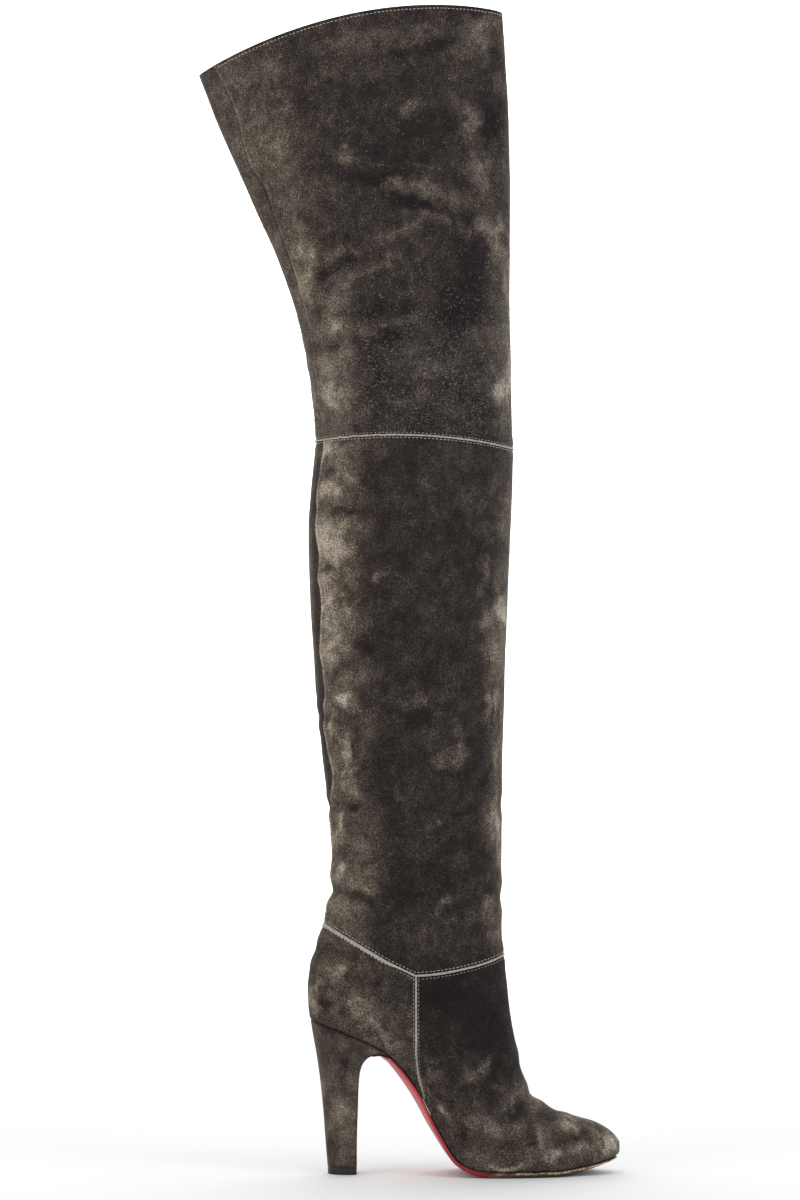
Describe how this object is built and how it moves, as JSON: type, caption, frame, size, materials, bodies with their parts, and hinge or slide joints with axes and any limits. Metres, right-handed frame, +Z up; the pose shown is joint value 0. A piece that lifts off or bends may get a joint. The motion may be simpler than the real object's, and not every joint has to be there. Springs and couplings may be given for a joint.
{
  "type": "over-the-knee boot",
  "caption": "Over-the-knee suede boot for the right foot, with piped seams at ankle and knee, a curved covered block heel and a thin lacquered sole.",
  "frame": {"origin": "on the floor under the middle of the boot's box", "axes": "+X towards the toe, +Y towards the inner side of the foot, +Z up the shaft"},
  "size_m": [0.2814, 0.097, 0.7788],
  "materials": {
    "suede": "dark brown-grey suede, brushed and mottled",
    "raw_edge": "pale raw-edged suede piping",
    "sole_leather": "red lacquered sole leather, worn under the tread",
    "heel_rubber": "black matt rubber",
    "lining_leather": "plain brown lining leather"
  },
  "bodies": {
    "root": {"outsole": "sole_leather", "heel": "suede", "heel_tip": "heel_rubber", "insole": "lining_leather", "upper": "suede", "leg_shaft": "suede", "thigh_shaft": "suede", "ankle_piping": "raw_edge", "knee_piping": "raw_edge", "side_piping_outer": "raw_edge", "side_piping_inner": "raw_edge"}
  },
  "joints": []
}
